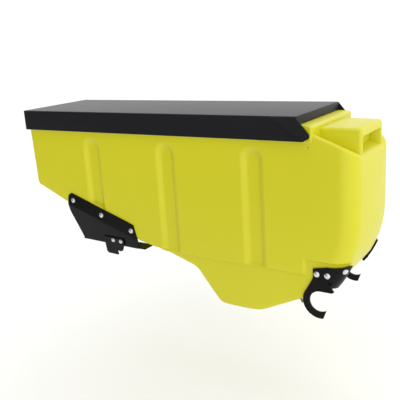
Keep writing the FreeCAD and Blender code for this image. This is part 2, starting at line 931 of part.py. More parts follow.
def outlet_gate():
    top = sump_z - frame_steel - gate_play
    end = outlet_x + frame_half_x + gate_tab + rail_lip
    plate = block(
        (outlet_x - outlet_half_x - gate_lap, end), (-gate_half_y, gate_half_y), (top - gate_steel, top)
    )
    tab_half = gate_half_y - gate_lap
    tab = block((end - gate_steel, end), (-tab_half, tab_half), (top - gate_tab, top))
    half, height = gate_grip
    low = top - gate_tab + gate_steel
    grip = block((end - 2 * gate_steel, end + gate_steel), (-half, half), (low, low + height))
    return joined([plate, tab]).cut(grip)


def outlet_spots(z):
    return [
        V(outlet_x + sx * outlet_screw[0], sy * outlet_screw[1], z) for sx in (-1, 1) for sy in (-1, 1)
    ]


def outlet_screws():
    base = sump_z - 2 * frame_steel - gate_steel - 2 * gate_play
    grip = sump_z - base + wall + baffle_sheet + nut_height
    return [bolt(spot, UP * -1, grip, screw_r, screw_head_r, screw_head) for spot in outlet_spots(base)]


def outlet_nuts():
    base = sump_z + wall + baffle_sheet
    return [nut(spot, UP, screw_r, screw_head_r, nut_height - 2) for spot in outlet_spots(base)]


def baffle(holes):
    """Inverted V over the outlet, on four legs that share the outlet screws."""
    eave = sump_z + baffle_z
    ridge = eave + baffle_rise
    reach = outlet_screw[1] + baffle_margin
    roof = prism_xz(
        [
            (outlet_x - baffle_half, eave),
            (outlet_x, ridge),
            (outlet_x + baffle_half, eave),
            (outlet_x + baffle_half - 1.3 * baffle_sheet, eave),
            (outlet_x, ridge - 1.4 * baffle_sheet),
            (outlet_x - baffle_half + 1.3 * baffle_sheet, eave),
        ],
        -reach,
        reach,
    )
    legs = []
    floor = sump_z + wall
    for sx in (-1, 1):
        for sy in (-1, 1):
            x = outlet_x + sx * (baffle_half - 0.5 * baffle_leg)
            foot_x = sorted((x - sx * 2, outlet_x + sx * (outlet_screw[0] + baffle_post)))
            y = span(sy, reach - baffle_sheet, reach)
            foot_y = span(sy, outlet_screw[1] - screw_head_r, reach)
            foot = block(foot_x, foot_y, (floor, floor + baffle_sheet))
            post = block((x - baffle_post, x + baffle_post), y, (floor, eave + 4))
            legs += [foot, post]
    return joined([roof] + legs).cut(holes)


def rear_stud_spots(stand):
    """Studs square to the sloping underside of the sump."""
    slope = math.atan2(rise_low[1] - sump_z, rise_low[0] - sump_x[1])
    out = V(math.sin(slope), 0, -math.cos(slope))
    z = sump_z + (stud_x - sump_x[1]) * math.tan(slope)
    return [(V(stud_x, side * stud_y, z) + out * stand, out) for _, side in SIDES]


def rear_studs():
    studs = []
    for base, out in rear_stud_spots(0):
        root = rod(stud_r, base - out * (wall + nut_height + thread_out), base + out * stud_collar)
        tip = rod(stud_tip_r, base + out * stud_collar, base + out * stud_out)
        studs.append(joined([root, tip]))
    return studs


def rear_stud_nuts():
    return [nut(base, out * -1) for base, out in rear_stud_spots(-wall)]


def rear_stud_collars():
    """Thin jam nuts outside, under the sump."""
    return [nut(base, out, stud_r, nut_r, stud_collar) for base, out in rear_stud_spots(0)]


# ---- top screen ----

def screen_span():
    """X and |y| limits of the screen, a little inside the walls."""
    inset = wall + screen_play
    return left_x + inset, curb_x - inset, body_half - inset


def top_screen():
    x0, x1, half = screen_span()
    base = screen_z + ledge_sheet
    frame = block((x0, x1), (-half, half), (base, base + 2 * screen_bar))
    inset = screen_bar
    frame = frame.cut(block((x0 + inset, x1 - inset), (-half + inset, half - inset), (0, rim_z)))
    rods = []
    long_count = int(2 * half // screen_pitch)
    for i in range(1, long_count + 1):
        y = -half + i * 2 * half / (long_count + 1)
        across = (y - 0.5 * screen_bar, y + 0.5 * screen_bar)
        rods.append(block((x0 + 1, x1 - 1), across, (base, base + screen_bar)))
    cross_count = int((x1 - x0) // screen_pitch)
    for i in range(1, cross_count + 1):
        x = x0 + i * (x1 - x0) / (cross_count + 1)
        z = (base + screen_bar, base + 2 * screen_bar)
        rods.append(block((x - 0.5 * screen_bar, x + 0.5 * screen_bar), (-half + 1, half - 1), z))
    return joined([frame] + rods)


def ledge_shelf(side):
    """Level leg of the angle that carries the screen."""
    x0, x1, _ = screen_span()
    face = body_half - wall
    x = (x0 + ledge_end, x1 - ledge_end)
    return block(x, span(side, face - screen_ledge, face), (screen_z, screen_z + ledge_sheet))


def ledge_upright(side, holes):
    """Upright leg of the angle, riveted to the side wall and standing on the shelf."""
    x0, x1, _ = screen_span()
    face = body_half - wall
    x = (x0 + ledge_end, x1 - ledge_end)
    z = (screen_z + ledge_sheet, screen_z + ledge_rise)
    return block(x, span(side, face - ledge_back, face), z).cut(holes)


def ledge_rivets(side):
    x0, x1, _ = screen_span()
    z = screen_z + ledge_rise - rivet_drop
    pitch = (x1 - x0 - 2 * rivet_end) / (rivet_count - 1)
    places = [x0 + rivet_end + i * pitch for i in range(rivet_count)]
    outside = body_half + rim_band
    grip = wall + rim_band + thread_out
    return [
        bolt(V(x, side * outside, z), V(0, side, 0), grip, rivet_r, rivet_head_r, rivet_head)
        for x in places
    ]


def build():
    parts = {}
    through = [pivot_insert(side, False) for _, side in SIDES]
    for name, side in SIDES:
        hook_set = hook_bolts(side)
        foot_set = foot_bolt_set(side)
        saddle_set = saddle_bolt_set(side)
        rivets = ledge_rivets(side)
        through += hook_set + foot_set + rivets
        parts["pivot_bolt_" + name] = [pivot_bolt(side)]
        parts["pivot_insert_" + name] = [pivot_insert(side)]
        parts["pivot_washer_" + name] = [pivot_washer(side)]
        parts["hook_bracket_" + name] = [hook_bracket(side, hook_set)]
        parts["hook_bolts_" + name] = hook_set
        parts["hook_washers_" + name] = hook_washers(side)
        parts["hook_nuts_" + name] = hook_nuts(side)
        parts["foot_bracket_" + name] = [foot_bracket(side, foot_set + saddle_set)]
        parts["foot_bolts_" + name] = foot_set
        parts["foot_nuts_" + name] = foot_nut_set(side)
        parts["saddle_plate_" + name] = [saddle(side, saddle_set)]
        parts["saddle_bolts_" + name] = saddle_set
        parts["saddle_nuts_" + name] = saddle_nut_set(side)
        parts["screen_ledge_" + name] = [ledge_shelf(side)]
        parts["ledge_upright_" + name] = [ledge_upright(side, rivets)]
        parts["ledge_rivets_" + name] = rivets
    screws = outlet_screws()
    studs = rear_studs()
    keeper_screws = keeper_screw_list()
    latch_rivets = latch_rivet_list()
    parts["hopper_shell"] = [hopper(through + screws + studs + keeper_screws)]
    parts["lid"] = [lid().cut(latch_rivets)]
    parts["latch_bracket"] = [latch_bracket()]
    parts["latch_pin"] = [latch_pin()]
    parts["latch_rivets"] = latch_rivets
    parts["latch_strap"] = [latch_strap()]
    parts["latch_keeper"] = [latch_keeper()]
    parts["keeper_screws"] = keeper_screws
    parts["outlet_frame"] = [outlet_frame(screws)]
    for name, side in SIDES:
        parts["gate_rail_" + name] = [gate_rail(side, screws)]
    parts["outlet_gate"] = [outlet_gate()]
    parts["outlet_screws"] = screws
    parts["outlet_nuts"] = outlet_nuts()
    parts["baffle"] = [baffle(screws)]
    parts["rear_studs"] = studs
    parts["rear_stud_nuts"] = rear_stud_nuts()
    parts["rear_stud_collars"] = rear_stud_collars()
    parts["top_screen"] = [top_screen()]
    return parts


os.makedirs("parts", exist_ok=True)
for node, solids in build().items():
    shape = solids[0] if len(solids) == 1 else Part.makeCompound(solids)
    shape.exportStep("parts/" + node + ".step")
    box = shape.BoundBox
    print(node, len(shape.Solids), shape.isValid(), round(shape.Volume / 1000.0, 1), "cm3",
          [round(v) for v in (box.XMin, box.YMin, box.ZMin, box.XMax, box.YMax, box.ZMax)])
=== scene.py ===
# %% [markdown]
# A long moulded hopper for salt and sand, carried on a bar at the back of a truck. The CAD model
# gives every steel part its true place. Here the two moulded pieces, the hopper and its lid, get the
# soft edges that rotational moulding leaves, and every piece gets its finish.
# %% Load the frame
import json
import math
import bmesh
import bpy
from mathutils import Matrix, Vector


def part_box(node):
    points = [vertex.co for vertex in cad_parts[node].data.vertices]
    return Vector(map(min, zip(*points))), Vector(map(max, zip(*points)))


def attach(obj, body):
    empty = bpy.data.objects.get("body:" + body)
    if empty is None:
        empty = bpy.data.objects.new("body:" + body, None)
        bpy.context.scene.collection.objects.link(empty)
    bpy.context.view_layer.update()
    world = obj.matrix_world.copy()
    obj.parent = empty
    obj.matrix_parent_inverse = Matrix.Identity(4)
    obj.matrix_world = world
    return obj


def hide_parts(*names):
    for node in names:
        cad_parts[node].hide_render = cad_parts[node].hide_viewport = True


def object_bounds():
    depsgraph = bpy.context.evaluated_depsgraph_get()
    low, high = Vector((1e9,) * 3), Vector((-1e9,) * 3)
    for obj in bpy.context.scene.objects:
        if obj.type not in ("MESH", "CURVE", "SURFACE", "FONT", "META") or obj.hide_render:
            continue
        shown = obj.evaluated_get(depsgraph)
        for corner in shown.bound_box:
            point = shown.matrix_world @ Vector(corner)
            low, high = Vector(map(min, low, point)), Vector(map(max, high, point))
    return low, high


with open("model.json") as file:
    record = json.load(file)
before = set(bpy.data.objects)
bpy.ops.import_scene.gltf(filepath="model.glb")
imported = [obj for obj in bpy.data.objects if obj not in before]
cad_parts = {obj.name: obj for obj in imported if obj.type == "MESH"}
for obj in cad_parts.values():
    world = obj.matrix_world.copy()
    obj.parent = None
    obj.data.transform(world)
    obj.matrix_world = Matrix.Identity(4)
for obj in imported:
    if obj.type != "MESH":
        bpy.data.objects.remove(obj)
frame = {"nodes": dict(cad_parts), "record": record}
cad_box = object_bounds()
SIDES = (("near", -1), ("far", 1))

# %% [markdown]
# Every mesh here is made from plain lists of points and faces. One helper turns such lists into an
# object, marks the faces smooth, and keeps as sharp only the edges that turn by more than an angle.
# %% Helper for meshes
def make_piece(name, points, faces, material, sharp=40):
    mesh = bpy.data.meshes.new(name)
    mesh.from_pydata(points, [], faces)
    weld(mesh)
    mesh.polygons.foreach_set("use_smooth", [True] * len(mesh.polygons))
    mesh.set_sharp_from_angle(angle=math.radians(sharp))
    mesh.materials.append(material)
    piece = bpy.data.objects.new(name, mesh)
    bpy.context.scene.collection.objects.link(piece)
    print(name, len(mesh.polygons), "faces")
    return piece


def weld(mesh):
    """Merge points that coincide, drop what collapses, and turn the faces outward."""
    work = bmesh.new()
    work.from_mesh(mesh)
    bmesh.ops.remove_doubles(work, verts=work.verts, dist=2e-5)
    bmesh.ops.dissolve_degenerate(work, edges=work.edges, dist=1e-6)
    bmesh.ops.recalc_face_normals(work, faces=work.faces)
    work.to_mesh(mesh)
    work.free()


def ring_faces(count, size, closed):
    """Quads between `count` rings of `size` points; closed joins the last ring to the first."""
    faces = []
    for i in range(count if closed else count - 1):
        a = i * size
        b = ((i + 1) % count) * size
        for j in range(size):
            k = (j + 1) % size
            faces.append((a + j, a + k, b + k, b + j))
    return faces


# %% [markdown]
# Node groups hold the effects that several finishes share: a fine grain that roughens a moulded or
# coated skin, slow colour drift across a big moulding, and dust that settles on faces that look up.
# They give out plain numbers and normals, and the shader itself stays in each material.
# %% Shared effects
def new_group(name, ins, outs):
    group = bpy.data.node_groups.new(name, "ShaderNodeTree")
    for label, kind, value in ins:
        socket = group.interface.new_socket(label, in_out="INPUT", socket_type=kind)
        socket.default_value = value
    for label, kind in outs:
        group.interface.new_socket(label, in_out="OUTPUT", socket_type=kind)
    return group, group.nodes.new("NodeGroupInput"), group.nodes.new("NodeGroupOutput")


def math_node(tree, operation, a, b):
    node = tree.nodes.new("ShaderNodeMath")
    node.operation = operation
    for socket, value in zip(node.inputs, (a, b)):
        if isinstance(value, (int, float)):
            socket.default_value = value
        else:
            tree.links.new(value, socket)
    return node.outputs[0]


def noise_node(tree, vector, scale, detail=2.0):
    node = tree.nodes.new("ShaderNodeTexNoise")
    node.inputs["Detail"].default_value = detail
    tree.links.new(vector, node.inputs["Vector"])
    if isinstance(scale, (int, float)):
        node.inputs["Scale"].default_value = scale
    else:
        tree.links.new(scale, node.inputs["Scale"])
    return node.outputs["Fac"]


def grain_group():
    group, gin, gout = new_group(
        "skin grain",
        [
            ("Scale", "NodeSocketFloat", 900.0),
            ("Depth", "NodeSocketFloat", 0.1),
            ("Waves", "NodeSocketFloat", 0.1),
        ],
        [("Normal", "NodeSocketVector"), ("Mask", "NodeSocketFloat")],
    )
    where = group.nodes.new("ShaderNodeTexCoord").outputs["Object"]
    fine = noise_node(group, where, gin.outputs["Scale"])
    slow = noise_node(group, where, 9.0, 1.0)
    small = group.nodes.new("ShaderNodeBump")
    small.inputs["Distance"].default_value = 0.0006
    group.links.new(gin.outputs["Depth"], small.inputs["Strength"])
    group.links.new(fine, small.inputs["Height"])
    large = group.nodes.new("ShaderNodeBump")
    large.inputs["Distance"].default_value = 0.006
    group.links.new(gin.outputs["Waves"], large.inputs["Strength"])
    group.links.new(slow, large.inputs["Height"])
    group.links.new(small.outputs[0], large.inputs["Normal"])
    group.links.new(large.outputs[0], gout.inputs["Normal"])
    group.links.new(fine, gout.inputs["Mask"])
    return group


def drift_group():
    group, gin, gout = new_group(
        "slow drift",
        [
            ("Scale", "NodeSocketFloat", 3.0),
            ("Low", "NodeSocketFloat", 0.9),
            ("High", "NodeSocketFloat", 1.0),
        ],
        [("Factor", "NodeSocketFloat")],
    )
    where = group.nodes.new("ShaderNodeTexCoord").outputs["Object"]
    cloud = noise_node(group, where, gin.outputs["Scale"], 3.0)
    spread = math_node(group, "SUBTRACT", gin.outputs["High"], gin.outputs["Low"])
    part = math_node(group, "MULTIPLY", cloud, spread)
    group.links.new(math_node(group, "ADD", part, gin.outputs["Low"]), gout.inputs["Factor"])
    return group


def dust_group():
    group, gin, gout = new_group(
        "settled dust",
        [("Amount", "NodeSocketFloat", 0.2)],
        [("Mask", "NodeSocketFloat")],
    )
    coords = group.nodes.new("ShaderNodeTexCoord")
    split = group.nodes.new("ShaderNodeSeparateXYZ")
    group.links.new(coords.outputs["Normal"], split.inputs[0])
    up = math_node(group, "MAXIMUM", split.outputs["Z"], 0.0)
    cloud = noise_node(group, coords.outputs["Object"], 5.0, 5.0)
    mask = math_node(group, "MULTIPLY", math_node(group, "POWER", up, 3.0), cloud)
    group.links.new(math_node(group, "MULTIPLY", mask, gin.outputs["Amount"]), gout.inputs["Mask"])
    return group


GRAIN = grain_group()
DRIFT = drift_group()
DUST = dust_group()


# %% [markdown]
# Each finish is a function of the same kind: a base colour that drifts a little, a roughness that
# follows the grain, a bumped normal, and pale dust where the face looks up.
# %% Finishes
def add_group(tree, group, values):
    node = tree.nodes.new("ShaderNodeGroup")
    node.node_tree = group
    for label, value in values.items():
        node.inputs[label].default_value = value
    return node


def finish(
    name,
    colour,
    roughness,
    metallic=0.0,
    shine=0.5,
    grain=(900.0, 0.1, 0.0),
    drift=(3.0, 0.92, 1.0),
    dust=0.1,
):
    material = bpy.data.materials.new(name)
    material.use_nodes = True
    tree = material.node_tree
    shader = tree.nodes["Principled BSDF"]
    shader.inputs["Metallic"].default_value = metallic
    shader.inputs["Specular IOR Level"].default_value = shine
    skin = add_group(tree, GRAIN, {"Scale": grain[0], "Depth": grain[1], "Waves": grain[2]})
    slow = add_group(tree, DRIFT, {"Scale": drift[0], "Low": drift[1], "High": drift[2]})
    settled = add_group(tree, DUST, {"Amount": dust})
    base = tree.nodes.new("ShaderNodeMix")
    base.data_type = "RGBA"
    base.inputs["A"].default_value = (*[0.72 * c for c in colour], 1)
    base.inputs["B"].default_value = (*colour, 1)
    tree.links.new(slow.outputs["Factor"], base.inputs["Factor"])
    dusty = tree.nodes.new("ShaderNodeMix")
    dusty.data_type = "RGBA"
    dusty.inputs["B"].default_value = (0.42, 0.41, 0.39, 1)
    tree.links.new(settled.outputs["Mask"], dusty.inputs["Factor"])
    tree.links.new(base.outputs["Result"], dusty.inputs["A"])
    tree.links.new(dusty.outputs["Result"], shader.inputs["Base Color"])
    spread = math_node(tree, "MULTIPLY", skin.outputs["Mask"], 0.16)
    rough = math_node(tree, "ADD", spread, roughness - 0.08)
    tree.links.new(rough, shader.inputs["Roughness"])
    tree.links.new(skin.outputs["Normal"], shader.inputs["Normal"])
    print("finish", name)
    return material


YELLOW = finish(
    "yellow moulded poly",
    (0.66, 0.625, 0.010),
    0.40, shine=0.45, grain=(500.0, 0.12, 0.10), drift=(2.2, 0.6, 1.0), dust=0.02,
)
LID_BLACK = finish(
    "black moulded lid",
    (0.013, 0.013, 0.015),
    0.40, shine=0.12, grain=(700.0, 0.2, 0.05), dust=0.02,
)
COAT_BLACK = finish(
    "black powder coat",
    (0.004, 0.004, 0.004),
    0.25, shine=0.12, grain=(1100.0, 0.12, 0.0), dust=0.01,
)
ZINC = finish(
    "bright zinc",
    (0.72, 0.73, 0.75),
    0.24, metallic=0.95, grain=(1500.0, 0.05, 0.0), dust=0.0,
)
GALVANISED = finish(
    "galvanised sheet",
    (0.52, 0.54, 0.55),
    0.42, metallic=0.85, grain=(300.0, 0.08, 0.0), drift=(60.0, 0.4, 1.0),
)
OLIVE = finish(
    "yellow passivated zinc",
    (0.20, 0.16, 0.045),
    0.36, metallic=0.6, grain=(1200.0, 0.1, 0.0),
)
NYLON = finish("black nylon", (0.008, 0.008, 0.008), 0.42, shine=0.2, grain=(900.0, 0.1, 0.0), dust=0.02)
RUBBER = finish(
    "black rubber",
    (0.016, 0.015, 0.014),
    0.62, shine=0.25, grain=(600.0, 0.25, 0.0), dust=0.1,
)
FINISHES = {
    "poly_yellow": YELLOW,
    "lid_black": LID_BLACK,
    "black_coat": COAT_BLACK,
    "zinc": ZINC,
    "galvanised": GALVANISED,
    "olive_zinc": OLIVE,
    "nylon": NYLON,
    "rubber": RUBBER,
}

# %% [markdown]
# The steel parts keep their CAD shape, because laser-cut plate and stock fasteners really are that
# plain. They only take the finish that the record names for each of them.
# %% Dress the CAD nodes
for part in frame["record"]["subparts"]:
    node = frame["nodes"][part["node"]]
    node.data.materials.clear()
    node.data.materials.append(FINISHES[part["material_slot"]])

# %% [markdown]
# The hopper is one moulding. Cut level at any height, it is a rounded rectangle, so the whole shell
# is a stack of level rings. Two curves say how far each ring reaches: one down the shallow end and
# along the sloping floor, one over the shoulder and down the end wall. Corners of both curves are
# softened first, because plastic never fills a sharp corner of a mould.
# %% Side curves of the hopper
MM = 0.001
LEFT = [(-1196, 563.5), (-1188, 278), (-1036, 213), (-690, 101), (-576, 76), (-452, 36)]
LEFT += [(-423, -4), (-360, -81), (-289, -81.4)]
END_CENTRE = (-240.0, 255.0)
END_R = 352.0
HALF = 164.0
WALL = 7.0
BASE_Z = -81.5


def end_arc(turns):
    return [
        (
            END_CENTRE[0] + END_R * math.cos(math.radians(t)),
            END_CENTRE[1] - END_R * math.sin(math.radians(t)),
        )
        for t in turns
    ]


RIGHT = [(-71, 563.5), (-71, 541), (-18, 540), (-18, 484), (111.9, 428), (112, 255)]
RIGHT += end_arc((6, 12, 18, 24, 29.6)) + [(17, 46), (-65, -7), (-218, -81), (-289, -81.4)]
SOFT_RIGHT = {1: 3, 2: 9, 10: 10, 11: 14, 12: 20, 13: 26}
SOFT_LEFT = {1: 14, 2: 26, 3: 30, 4: 26, 5: 22, 6: 22, 7: 20}


def softened(points, reach, steps=5):
    """Round each corner with a short curve that starts `reach` before it."""
    out = [points[0]]
    for i in range(1, len(points) - 1):
        r = reach.get(i, 0)
        if not r:
            out.append(points[i])
            continue
        here = points[i]
        ends = []
        for other in (points[i - 1], points[i + 1]):
            length = math.dist(here, other)
            share = min(r, 0.45 * length) / length
            ends.append((here[0] + (other[0] - here[0]) * share, here[1] + (other[1] - here[1]) * share))
        for k in range(steps + 1):
            t = k / steps
            a, b = (1 - t) ** 2, t * t
            c = 2 * t * (1 - t)
            out.append(tuple(a * ends[0][n] + c * here[n] + b * ends[1][n] for n in (0, 1)))
    out.append(points[-1])
    return out


def reach_at(curve, z):
    """X of a falling curve at a height, and how steep it is there (1 upright, 0 level)."""
    for (x0, z0), (x1, z1) in zip(curve[:-1], curve[1:]):
        if z1 <= z <= z0 and z0 - z1 > 1e-9:
            t = (z0 - z) / (z0 - z1)
            return x0 + (x1 - x0) * t, (z0 - z1) / math.dist((x0, z0), (x1, z1))
    return (curve[0] if z > curve[0][1] else curve[-1])[0], 1.0


LEFT_SOFT = softened(LEFT, SOFT_LEFT)
RIGHT_SOFT = softened(RIGHT, SOFT_RIGHT)
print("side curves", len(LEFT_SOFT), len(RIGHT_SOFT))


# %% [markdown]
# The side walls aren't quite flat. Three domed grooves stiffen each one, a thicker band runs round
# the rim, the wall steps in below a crease, and a pocket at the foot of the end takes the hook plate.
# One function gives the half width of the hopper anywhere on its side.
# %% Half width of the hopper
FLUTES = [-219.0 - 330.0 * i for i in range(3)]
FLUTE_HALF = 42.0
FLUTE_FLANK = 25.0
FLUTE_DEPTH = 10.0
FLUTE_SPRING = 432.0
CREASE_Z = 79.0
STEP = 6.0


def smooth(t):
    t = min(max(t, 0.0), 1.0)
    return t * t * (3 - 2 * t)


def strip_top(x):
    """Height where the foot's bolt strip ends, for a place along the floor."""
    return 101.0 - 0.3237 * (x + 690.0) + 46.0


def groove(x, z):
    deepest = 0.0
    for centre in FLUTES:
        over = max(z - FLUTE_SPRING, 0.0)
        edge = FLUTE_HALF - math.hypot(x - centre, over)
        deepest = max(deepest, FLUTE_DEPTH * smooth(edge / FLUTE_FLANK))
    ends = smooth((z - CREASE_Z) / 10.0)
    if -1030 < x < -690:
        ends *= smooth((z - strip_top(x)) / 6.0)
    return deepest * ends


def half_width(x, z):
    width = HALF - groove(x, z)
    above_crease = smooth((z - CREASE_Z + 4) / 8.0)
    above_pocket = max(smooth((z - 124.0) / 8.0), smooth((-46.0 - x) / 8.0))
    width -= STEP * (1 - min(above_crease, above_pocket))
    return width + 3.0 * smooth((z - 490.0) / 5.0)


# %% [markdown]
# A ring runs round the hopper at one height: along the near side, round the end, back along the far
# side and round the shallow end. Its points stand at fixed places along the side, so that the
# grooves stay straight, and those beyond the ring's end simply gather at its corner.
# %% Rings of the hopper
def side_columns():
    places = {-1196.0 + 14.0 * i for i in range(94)}
    for centre in FLUTES:
        for offset in (15, 19, 23, 27, 31, 35, 39, 42, 44):
            places.update((centre - offset, centre + offset))
    places.update((-58.0, -54.0, -50.0, -46.0, -42.0))
    return sorted(places)


COLUMNS = side_columns()
CORNER_STEPS = 9
END_STEPS = 12


def corner_sizes(z, left_rise, right_rise):
    """Reach of the corner roundings along X and Y, for both ends of a ring."""
    left = 14.0 if z > 278 else 12.0
    if z > 484:
        right = (8.0, 8.0)
    elif z > 428:
        right = (54.0, 54.0)
    else:
        ball = 12.0 + 42.0 * smooth((z + 10.0) / 120.0)
        right = (min(ball / max(right_rise, 0.25), 90.0), ball)
    return (left / max(left_rise, 0.25), left), right


def ring(z, x_left, x_right, sizes, inset, shrink):
    (lx, ly), (rx, ry) = sizes
    lo, hi = x_left + lx, x_right - rx
    near = []
    for x in COLUMNS:
        x = min(max(x, lo), hi)
        near.append((x, half_width(x, z) - inset - shrink))
    w_left, w_right = near[0][1], near[-1][1]
    bow = 5.0 * smooth((430.0 - z) / 60.0) * smooth((z - 40.0) / 120.0)
    turn = [0.5 * math.pi * k / CORNER_STEPS for k in range(1, CORNER_STEPS)]
    right_corner = [(hi + rx * math.sin(a), w_right - ry * (1 - math.cos(a))) for a in turn]
    left_corner = [(lo - lx * math.sin(a), w_left - ly * (1 - math.cos(a))) for a in turn]
    right_end = []
    left_end = []
    for k in range(END_STEPS + 1):
        t = 2 * k / END_STEPS - 1
        right_end.append((x_right + bow * (1 - t * t), t * (w_right - ry)))
        left_end.append((x_left, t * (w_left - ly)))
    points = [(x, -w) for x, w in near]
    points += [(x, -w) for x, w in right_corner] + right_end
    points += [(x, w) for x, w in right_corner[::-1]] + [(x, w) for x, w in near[::-1]]
    points += [(x, w) for x, w in left_corner] + left_end[::-1]
    points += [(x, -w) for x, w in left_corner[::-1]]
    return [(x * MM, y * MM, z * MM) for x, y in points]


def levels():
    heights = {z for _, z in LEFT_SOFT + RIGHT_SOFT}
    heights.update(BASE_Z + 0.5 + 6.5 * i for i in range(99))
    heights.update((490.0, 492.0, 495.0, 75.0, 79.0, 83.0, 124.0, 128.0, 132.0))
    heights.update(FLUTE_SPRING + 3.5 * i for i in range(13))
    kept = []
    for z in sorted(heights, reverse=True):
        if BASE_Z < z <= 563.5 and (not kept or kept[-1] - z > 0.9 or z > 539.5):
            kept.append(z)
    return kept


def floor_round(z, base, r=12.0):
    """How much a ring shrinks near the flat bottom of the sump."""
    height = z - base
    return 0.0 if height > r else r - math.sqrt(max(r * r - (r - height) ** 2, 0.0))


def outer_rings():
    rings = []
    for z in levels():
        x_left, left_rise = reach_at(LEFT_SOFT, z)
        x_right, right_rise = reach_at(RIGHT_SOFT, z)
        shrink = floor_round(z, -81.4)
        rings.append(ring(z, x_left, x_right, corner_sizes(z, left_rise, right_rise), 0.0, shrink))
    return rings


BEND_Z = 533.0       # the inside follows the deep end's curve up to here
CURB_FOOT_Z = 541
NECK_Z = 520         # above this the inside ends at the curb, not at the end wall
NECK_X = -71.0


def inner_rings():
    """The inside, a wall's thickness in from the outside, from the bottom up to the rim."""
    rings = []
    for z in [z for z in levels() if z > BASE_Z + WALL][::-1]:
        lowered = min(z, BEND_Z)
        x_left, left_rise = reach_at(LEFT_SOFT, z)
        x_right, right_rise = reach_at(RIGHT_SOFT, z if z > CURB_FOOT_Z else lowered)
        thick_left = WALL / max(left_rise, 0.25)
        thick_right = WALL / max(right_rise, 0.25)
        if z > NECK_Z:
            x_right = NECK_X
            thick_right = WALL
        sizes = corner_sizes(z, left_rise, right_rise)
        shrink = floor_round(z, -81.4 + WALL)
        rings.append(ring(z, x_left + thick_left, x_right - thick_right, sizes, WALL, shrink))
    return rings


outside = outer_rings()
inside = inner_rings()
print("rings", len(outside), len(inside), "points each", len(outside[0]))


# %% [markdown]
# The sump has a rectangular outlet in its flat bottom. The last outer ring is pulled in to the
# outlet's edge, and so is the first inner ring, which joins the two skins round the hole. The rim
# joins them at the top, so the shell is one closed skin.
# %% Hopper shell
def outlet_ring(like, z):
    mouth_x = (-334 * MM, -244 * MM)
    mouth_y = 50 * MM
    return [
        (min(max(x, mouth_x[0]), mouth_x[1]), min(max(y, -mouth_y), mouth_y), z * MM)
        for x, y, _ in like
    ]


hopper_rings = outside + [outlet_ring(outside[-1], -81.0), outlet_ring(inside[0], -74.0)] + inside
hopper_points = [point for one in hopper_rings for point in one]
hopper = make_piece(
    "hopper_body",
    hopper_points,
    ring_faces(len(hopper_rings), len(outside[0]), True),
    YELLOW,
    sharp=50,
)
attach(hopper, "hopper")


# %% [markdown]
# In front of the curb the hopper's top is a dished shoulder. It falls toward the end wall, and its
# outer edges stand higher than its middle, which drains the corner beside the nose. It is a cap of
# cross sections along X. Each one dips in the middle and rounds over at the wall.
# %% Dished shoulder
NOSE_HALF = 100.0
CAP_BASE = 426.0
CORNER = 54.0
END_X = 112.0
BRIM = 15.0


def cap_half(x):
    """Half width of the cap, which follows the rounded corners of the end wall."""
    over = max(x - (END_X - CORNER), 0.0)
    return HALF - CORNER + math.sqrt(max(CORNER * CORNER - over * over, 0.0))


def cap_height(x, y):
    rise = max(y - NOSE_HALF, 0.0) / (HALF - NOSE_HALF)
    surface = 497.0 - 0.39 * (x + 18.0) + 22.0 * rise
    corner_x, corner_y = END_X - CORNER, HALF - CORNER
    if x > corner_x and y > corner_y:
        inside = CORNER - math.hypot(x - corner_x, y - corner_y)
    else:
        inside = min(HALF - y, END_X - x)
    inside = min(max(inside, 0.0), BRIM)
    return surface - (BRIM - math.sqrt(BRIM * BRIM - (BRIM - inside) ** 2))


def cap_section(x):
    half = cap_half(x)
    across = [half - d for d in (0, 0.4, 1.4, 3, 5.5, 9, 13, 18, 26, 36)]
    across += [NOSE_HALF + 8, NOSE_HALF, NOSE_HALF - 8, 50.0, 0.0]
    across = sorted({max(y, 0.0) if y < half else half for y in across}, reverse=True)
    while len(across) < 15:
        across.insert(1, 0.5 * (across[0] + across[1]))
    top = [(-y, cap_height(x, y)) for y in across] + [(y, cap_height(x, y)) for y in across[-2::-1]]
    ring_points = [(-half - 0.2, CAP_BASE)] + top + [(half + 0.2, CAP_BASE)]
    return [(x * MM, y * MM, z * MM) for y, z in ring_points]


def cap_stations():
    flat = [-30.0, -18.0, -4.0, 10.0, 24.0, 38.0, 50.0]
    turns = (0, 10, 20, 30, 38, 46, 54, 62, 70, 76, 82, 87, 90)
    turned = [END_X - CORNER + (CORNER + 0.2) * math.sin(math.radians(a)) for a in turns]
    return flat + turned


def capped(rings):
    """Faces of an open stack of rings, with both ends closed."""
    size = len(rings[0])
    faces = ring_faces(len(rings), size, False)
    faces.append(tuple(range(size))[::-1])
    faces.append(tuple(range((len(rings) - 1) * size, len(rings) * size)))
    return faces


cap = [cap_section(x) for x in cap_stations()]
shoulder = make_piece("hopper_shoulder", [p for one in cap for p in one], capped(cap), YELLOW, sharp=50)
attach(shoulder, "hopper")
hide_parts("hopper_shell")


# %% [markdown]
# The nose is a boxed housing moulded onto the shoulder, with a deep recess in its end. It is a
# tube of rounded rectangles run along X: out along the outside, over the rounded end, and back in.
# %% Nose housing
NOSE_TOP = 526.0
NOSE_END = 104.0
NOSE_ROOT = 428.0


def nose_ring(x, half, top, bottom, r):
    points = []
    for sx, sz, start in ((1, 1, 0), (-1, 1, 90)):
        for k in range(7):
            a = math.radians(start + 15 * k)
            points.append((x, sx * (half - r) + r * math.cos(a), top - r + r * math.sin(a)))
    for sx in (-1, 1):
        points.append((x, sx * half, bottom))
    return [tuple(v * MM for v in point) for point in points]


